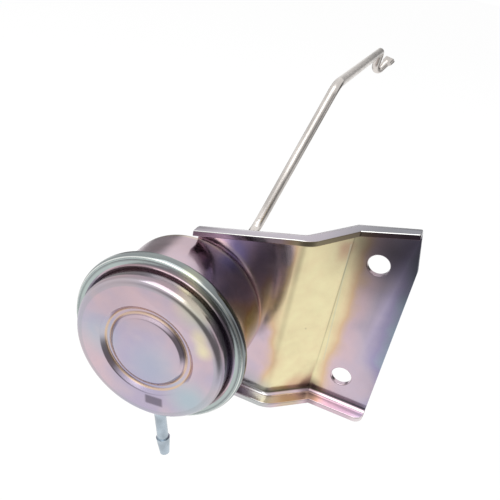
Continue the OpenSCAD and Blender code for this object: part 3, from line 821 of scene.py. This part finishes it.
def studio_shell(name, middle, floor_z, cloths):
    """Black cloths with soft edges round the part, which shiny metal reflects and nothing else
    sees. The shell turns along the floor where it meets it, and is white between the cloths."""
    around, up_steps = 60, 36
    form = bmesh.new()
    rows = []
    for i in range(up_steps + 1):
        lift = CLOTH_LOWEST + (CLOTH_HIGHEST - CLOTH_LOWEST) * i / up_steps
        row = []
        for k in range(around):
            ray = direction(FULL_TURN * k / around, lift)
            far = CLOTH_RADIUS
            if ray.z < 0:
                far = min(far, (middle.z - floor_z - CLOTH_OVER_FLOOR) / -ray.z)
            row.append(form.verts.new(ray * far))
        rows.append(row)
    for lower, upper in zip(rows, rows[1:]):
        for k in range(around):
            n = (k + 1) % around
            form.faces.new((lower[k], lower[n], upper[n], upper[k]))
    mesh = bpy.data.meshes.new(name)
    form.to_mesh(mesh)
    form.free()

    # Velvet in a white tent: metal mirrors it as dark bands with soft edges.
    material = bpy.data.materials.new("black_cloths_with_soft_edges")
    material.use_nodes = True
    tree = material.node_tree
    tree.nodes.clear()
    place = add(tree, "TexCoord").outputs["Object"]
    unit = add(tree, "VectorMath", (place,), operation="NORMALIZE").outputs[0]
    light = 1.0
    for cloth in cloths:
        shade = cloth_shade(tree, unit, cloth)
        light = add(tree, "Math", (light, shade), operation="MINIMUM").outputs[0]
    glow = add(tree, "Emission", {"Strength": light}).outputs[0]
    add(tree, "OutputMaterial", {"Surface": glow})
    mesh.materials.append(material)

    piece = bpy.data.objects.new(name, mesh)
    piece.location = middle
    piece.visible_camera = False
    piece.visible_shadow = False
    piece.visible_diffuse = False
    bpy.context.scene.collection.objects.link(piece)


def soft_lamp(name, place, size, power, mirrored=False):
    """A square lamp that shines on the part. Only a mirrored one shows in the reflections."""
    lamp = bpy.data.lights.new(name, "AREA")
    lamp.shape = "SQUARE"
    lamp.size = size
    lamp.energy = power
    piece = bpy.data.objects.new(name, lamp)
    piece.location = place
    away = STAGE_MIDDLE - Vector(place)
    piece.rotation_euler = away.to_track_quat("-Z", "Y").to_euler()
    piece.visible_glossy = mirrored
    bpy.context.scene.collection.objects.link(piece)


class ACTUATOR_OT_stage(bpy.types.Operator):
    """Sets the camera, the pale floor, the lamps and the dark cloths that the metal reflects."""

    bl_idname = "actuator.stage"
    bl_label = "Stage"

    def execute(self, context):
        stage = context.scene.actuator_stage
        back = CAMERA_RIGHT.cross(CAMERA_UP).normalized()
        up = back.cross(CAMERA_RIGHT).normalized()
        turn = Matrix((CAMERA_RIGHT.normalized(), up, back)).transposed()
        eye = bpy.data.cameras.new("photograph_camera")
        eye.lens = stage.lens
        eye.sensor_width = 36.0
        eye.clip_start = 0.01
        camera = bpy.data.objects.new("photograph_camera", eye)
        camera.matrix_world = Matrix.Translation(stage.camera_place) @ turn.to_4x4()
        context.scene.collection.objects.link(camera)
        context.scene.camera = camera
        context.scene.view_settings.view_transform = "Standard"

        x, y, _ = STAGE_MIDDLE
        floor_z = CAD_BOX[0].z - stage.floor_drop
        # Matt white board: a plain pale ground that keeps a faint shadow.
        board = stage_material("matt_white_floor", "#FFFFFF", seen_as=1.05, keeps_shadow=0.12)
        panel("pale_floor", (x, y, floor_z), (FLOOR_SIZE, FLOOR_SIZE), (x, y, 1.0), board)

        # Each cloth: azimuth and height in degrees, half width and half height as a share of the
        # shell's radius, and how light its middle is.
        cloths = (
            ((32.0, -4.0), (1.12, 0.66), 0.19),
            ((138.0, 2.0), (0.5, 0.45), 0.1),
            ((-144.0, -4.0), (0.24, 0.4), 0.25),
            ((174.0, 11.0), (0.42, 0.22), 0.32),
            ((80.0, 6.0), (0.36, 0.4), 0.3),
        )
        studio_shell("dark_cloths", STAGE_MIDDLE, floor_z, cloths)

        soft_lamp("overhead_lamp", (-0.15, -0.4, 0.8), 0.8, stage.lamp_power, mirrored=True)
        soft_lamp("left_lamp", (-0.7, -0.5, 0.45), 0.5, stage.lamp_power / 2)
        soft_lamp("back_lamp", (0.35, 0.6, 0.75), 0.5, stage.lamp_power / 3)

        world = bpy.data.worlds.new("white_studio")
        context.scene.world = world
        world.use_nodes = True
        tree = world.node_tree
        tree.nodes.clear()
        white = add(tree, "Background", {"Color": (1, 1, 1, 1), "Strength": 1.0}).outputs[0]
        fill = add(tree, "Background", {"Color": (1, 1, 1, 1), "Strength": 0.5}).outputs[0]
        sky = add(tree, "MixShader", (plain_rays(tree), fill, white)).outputs[0]
        add(tree, "OutputWorld", {"Surface": sky})
        return {"FINISHED"}


OPERATORS = (
    ACTUATOR_OT_can,
    ACTUATOR_OT_bracket,
    ACTUATOR_OT_rod,
    ACTUATOR_OT_nipple,
    ACTUATOR_OT_fasteners,
    ACTUATOR_OT_inner_parts,
    ACTUATOR_OT_stage,
)


class ACTUATOR_PT_sidebar(bpy.types.Panel):
    """Lists the actuator's finishing steps and their settings."""

    bl_idname = "ACTUATOR_PT_sidebar"
    bl_label = "Wastegate actuator"
    bl_space_type = "VIEW_3D"
    bl_region_type = "UI"
    bl_category = "Actuator"

    def draw(self, context):
        for step in OPERATORS:
            self.layout.operator(step.bl_idname)
        for name, group in GROUPS.items():
            box = self.layout.box()
            for setting in group.__annotations__:
                box.prop(getattr(context.scene, name), setting)


def register():
    """Adds the settings, the steps and the sidebar."""
    for name, group in GROUPS.items():
        bpy.utils.register_class(group)
        setattr(bpy.types.Scene, name, bpy.props.PointerProperty(type=group))
    for step in (*OPERATORS, ACTUATOR_PT_sidebar):
        bpy.utils.register_class(step)


def unregister():
    """Takes them out again."""
    for step in reversed((*OPERATORS, ACTUATOR_PT_sidebar)):
        bpy.utils.unregister_class(step)
    for name, group in GROUPS.items():
        delattr(bpy.types.Scene, name)
        bpy.utils.unregister_class(group)


def main():
    """Runs every step in order."""
    register()
    bpy.ops.actuator.can()
    bpy.ops.actuator.bracket()
    bpy.ops.actuator.rod()
    bpy.ops.actuator.nipple()
    bpy.ops.actuator.fasteners()
    bpy.ops.actuator.inner_parts()
    bpy.ops.actuator.stage()


if __name__ == "__main__":
    main()
